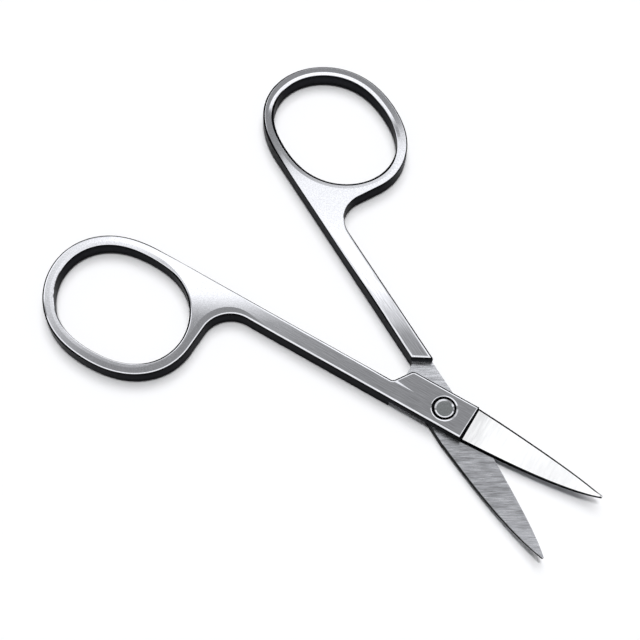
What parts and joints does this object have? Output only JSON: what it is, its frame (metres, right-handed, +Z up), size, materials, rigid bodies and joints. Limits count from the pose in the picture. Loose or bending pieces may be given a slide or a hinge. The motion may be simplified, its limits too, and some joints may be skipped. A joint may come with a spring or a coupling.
{
  "type": "curved eyebrow scissors",
  "caption": "Small steel grooming scissors with oval finger rings, slim shanks, a half-lap pivot with a flush rivet, and short leaf-shaped blades bent upwards for trimming eyebrows.",
  "frame": {"origin": "on the pivot axis, at the surface that the scissors lie on", "axes": "+Z up along the pivot axis, +X from the pivot along the closing line towards the blade tips, finger rings at -X"},
  "size_m": [0.085, 0.068, 0.003],
  "materials": {
    "satin_steel": "satin ground stainless steel, grain along the shanks and across the blades, polished bevels",
    "rivet_steel": "flat ground stainless steel, a little darker than the halves"
  },
  "bodies": {
    "lower": {"lower_half": "satin_steel", "pivot_rivet": "rivet_steel"},
    "upper": {"upper_half": "satin_steel"}
  },
  "joints": [
    {"name": "pivot", "type": "hinge", "parent": "lower", "child": "upper", "pos_m": [0, 0, 0], "axis": [0, 0, 1], "range_deg": [-28.5, 36]}
  ]
}
